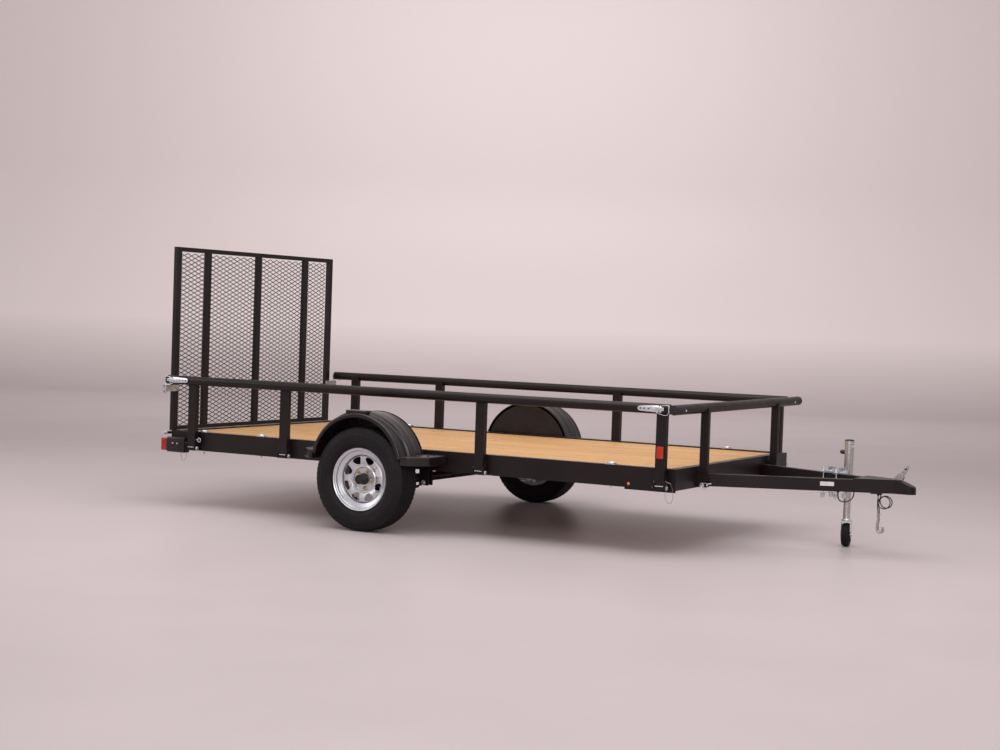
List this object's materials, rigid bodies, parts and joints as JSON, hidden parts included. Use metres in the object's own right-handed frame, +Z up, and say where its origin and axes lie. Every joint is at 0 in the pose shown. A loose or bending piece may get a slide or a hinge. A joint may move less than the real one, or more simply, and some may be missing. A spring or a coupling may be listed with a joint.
{
  "type": "utility trailer",
  "caption": "Open single-axle utility trailer with a plank deck, round-tube rails that fold, a mesh ramp gate and a swivel jack",
  "frame": {"origin": "on the ground at the middle of the whole trailer's box", "axes": "+X forward to the coupler, +Y to the trailer's left, +Z up"},
  "size_m": [5.021, 2.566, 1.802],
  "materials": {
    "black_steel": "black powder coat, semi-gloss",
    "galvanised": "galvanised steel",
    "zinc": "bright zinc plate",
    "deck_wood": "treated pine planks",
    "tyre_rubber": "black rubber",
    "fender_plastic": "moulded black plastic",
    "red_lens": "clear red lens",
    "amber_lens": "clear amber lens",
    "cord_black": "black rubber"
  },
  "bodies": {
    "trailer": {"axle_beam": "black_steel", "coupler": "black_steel", "coupler_lever": "galvanised", "cross_members": "black_steel", "deck_edge_strip": "galvanised", "deck_planks": "deck_wood", "fender_left": "fender_plastic", "fender_right": "fender_plastic", "front_beam": "black_steel", "front_post_ears": "black_steel", "gate_hinge": "black_steel", "jack_mount": "black_steel", "leaf_spring_left": "black_steel", "leaf_spring_right": "black_steel", "post_ears_left": "black_steel", "post_ears_right": "black_steel", "rear_beam": "black_steel", "safety_cable_left": "cord_black", "safety_cable_right": "cord_black", "safety_hook_left": "zinc", "safety_hook_right": "zinc", "side_beam_left": "black_steel", "side_beam_right": "black_steel", "side_marker_left": "amber_lens", "side_marker_right": "amber_lens", "spring_hangers_left": "black_steel", "spring_hangers_right": "black_steel", "tail_lamp_box_left": "black_steel", "tail_lamp_box_right": "black_steel", "tail_lamp_lens_left": "red_lens", "tail_lamp_lens_right": "red_lens", "tie_down_rings_left": "zinc", "tie_down_rings_right": "zinc", "tongue_beam_left": "black_steel", "tongue_beam_right": "black_steel", "wiring_loop": "cord_black"},
    "wheel_right": {"tyre_right": "tyre_rubber", "rim_right": "galvanised", "hub_right": "black_steel"},
    "wheel_left": {"tyre_left": "tyre_rubber", "rim_left": "galvanised", "hub_left": "black_steel"},
    "gate": {"gate_frame": "black_steel", "gate_mesh": "black_steel", "gate_catches": "galvanised"},
    "rail_right": {"side_rail_right": "black_steel", "rail_latches_right": "galvanised", "rail_reflector_right": "amber_lens"},
    "rail_left": {"side_rail_left": "black_steel", "rail_latches_left": "galvanised", "rail_reflector_left": "amber_lens"},
    "front_rail": {"front_rail": "black_steel"},
    "jack": {"jack_tube": "galvanised", "jack_crank": "black_steel"},
    "jack_leg": {"jack_leg": "galvanised"},
    "caster_fork": {"caster_fork": "black_steel"},
    "caster_wheel": {"caster_wheel": "tyre_rubber"}
  },
  "joints": [
    {"name": "wheel_right_spin", "type": "hinge", "parent": "trailer", "child": "wheel_right", "pos_m": [-0.6985, -1.176, 0.331], "axis": [0, 1, 0], "continuous": true},
    {"name": "wheel_left_spin", "type": "hinge", "parent": "trailer", "child": "wheel_left", "pos_m": [-0.6985, 1.176, 0.331], "axis": [0, 1, 0], "continuous": true},
    {"name": "gate_fold", "type": "hinge", "parent": "trailer", "child": "gate", "pos_m": [-2.4905, 0, 0.506], "axis": [0, -1, 0], "range_deg": [0, 111]},
    {"name": "rail_right_fold", "type": "hinge", "parent": "trailer", "child": "rail_right", "pos_m": [-0.5635, -0.997, 0.412], "axis": [1, 0, 0], "range_deg": [0, 90]},
    {"name": "rail_left_fold", "type": "hinge", "parent": "trailer", "child": "rail_left", "pos_m": [-0.5635, 0.997, 0.412], "axis": [-1, 0, 0], "range_deg": [0, 90]},
    {"name": "front_rail_fold", "type": "hinge", "parent": "trailer", "child": "front_rail", "pos_m": [1.3755, 0, 0.412], "axis": [0, 1, 0], "range_deg": [0, 75]},
    {"name": "jack_swing", "type": "hinge", "parent": "trailer", "child": "jack", "pos_m": [1.9415, 0.24344, 0.431], "axis": [0.4226, 0.9063, 0], "range_deg": [0, 90]},
    {"name": "jack_lift", "type": "slide", "parent": "jack", "child": "jack_leg", "axis": [0, 0, 1], "range_m": [0, 0.18]},
    {"name": "caster_swivel", "type": "hinge", "parent": "jack_leg", "child": "caster_fork", "pos_m": [1.98038, 0.32682, 0.17], "axis": [0, 0, 1], "continuous": true},
    {"name": "caster_spin", "type": "hinge", "parent": "caster_fork", "child": "caster_wheel", "pos_m": [1.97899, 0.33673, 0.075], "axis": [0.9903, 0.1392, 0], "continuous": true}
  ]
}
